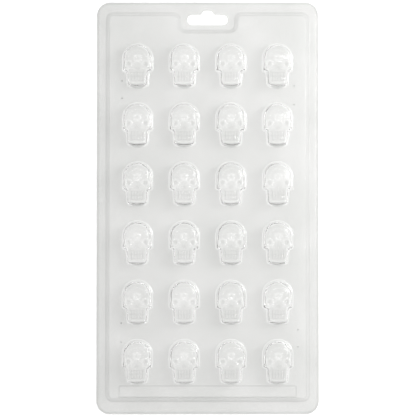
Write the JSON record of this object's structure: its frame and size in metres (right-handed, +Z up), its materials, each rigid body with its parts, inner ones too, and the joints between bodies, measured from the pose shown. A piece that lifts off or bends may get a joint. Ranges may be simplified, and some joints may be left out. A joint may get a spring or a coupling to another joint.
{
  "type": "skull candy mould",
  "caption": "Clear vacuum-formed sheet with a grid of small hollow skull cavities, a stepped rim and a slotted hang tab, for casting candies.",
  "frame": {"origin": "middle of the mould's footprint, on the surface that its trimmed edge rests on", "axes": "+X across the sheet, +Y along it towards the hang slot, +Z up through the outside of the cavities"},
  "size_m": [0.175, 0.325, 0.0144],
  "materials": {
    "clear_plastic": "clear, glossy thin sheet with a faint haze"
  },
  "bodies": {
    "root": {"rim_flange": "clear_plastic", "hang_tab": "clear_plastic", "step_wall": "clear_plastic", "panel_row_1": "clear_plastic", "panel_row_2": "clear_plastic", "panel_row_3": "clear_plastic", "panel_row_4": "clear_plastic", "panel_row_5": "clear_plastic", "panel_row_6": "clear_plastic", "label_land": "clear_plastic", "skull_cavity_r1c1": "clear_plastic", "skull_cavity_r1c2": "clear_plastic", "skull_cavity_r1c3": "clear_plastic", "skull_cavity_r1c4": "clear_plastic", "skull_cavity_r2c1": "clear_plastic", "skull_cavity_r2c2": "clear_plastic", "skull_cavity_r2c3": "clear_plastic", "skull_cavity_r2c4": "clear_plastic", "skull_cavity_r3c1": "clear_plastic", "skull_cavity_r3c2": "clear_plastic", "skull_cavity_r3c3": "clear_plastic", "skull_cavity_r3c4": "clear_plastic", "skull_cavity_r4c1": "clear_plastic", "skull_cavity_r4c2": "clear_plastic", "skull_cavity_r4c3": "clear_plastic", "skull_cavity_r4c4": "clear_plastic", "skull_cavity_r5c1": "clear_plastic", "skull_cavity_r5c2": "clear_plastic", "skull_cavity_r5c3": "clear_plastic", "skull_cavity_r5c4": "clear_plastic", "skull_cavity_r6c1": "clear_plastic", "skull_cavity_r6c2": "clear_plastic", "skull_cavity_r6c3": "clear_plastic", "skull_cavity_r6c4": "clear_plastic"}
  },
  "joints": []
}
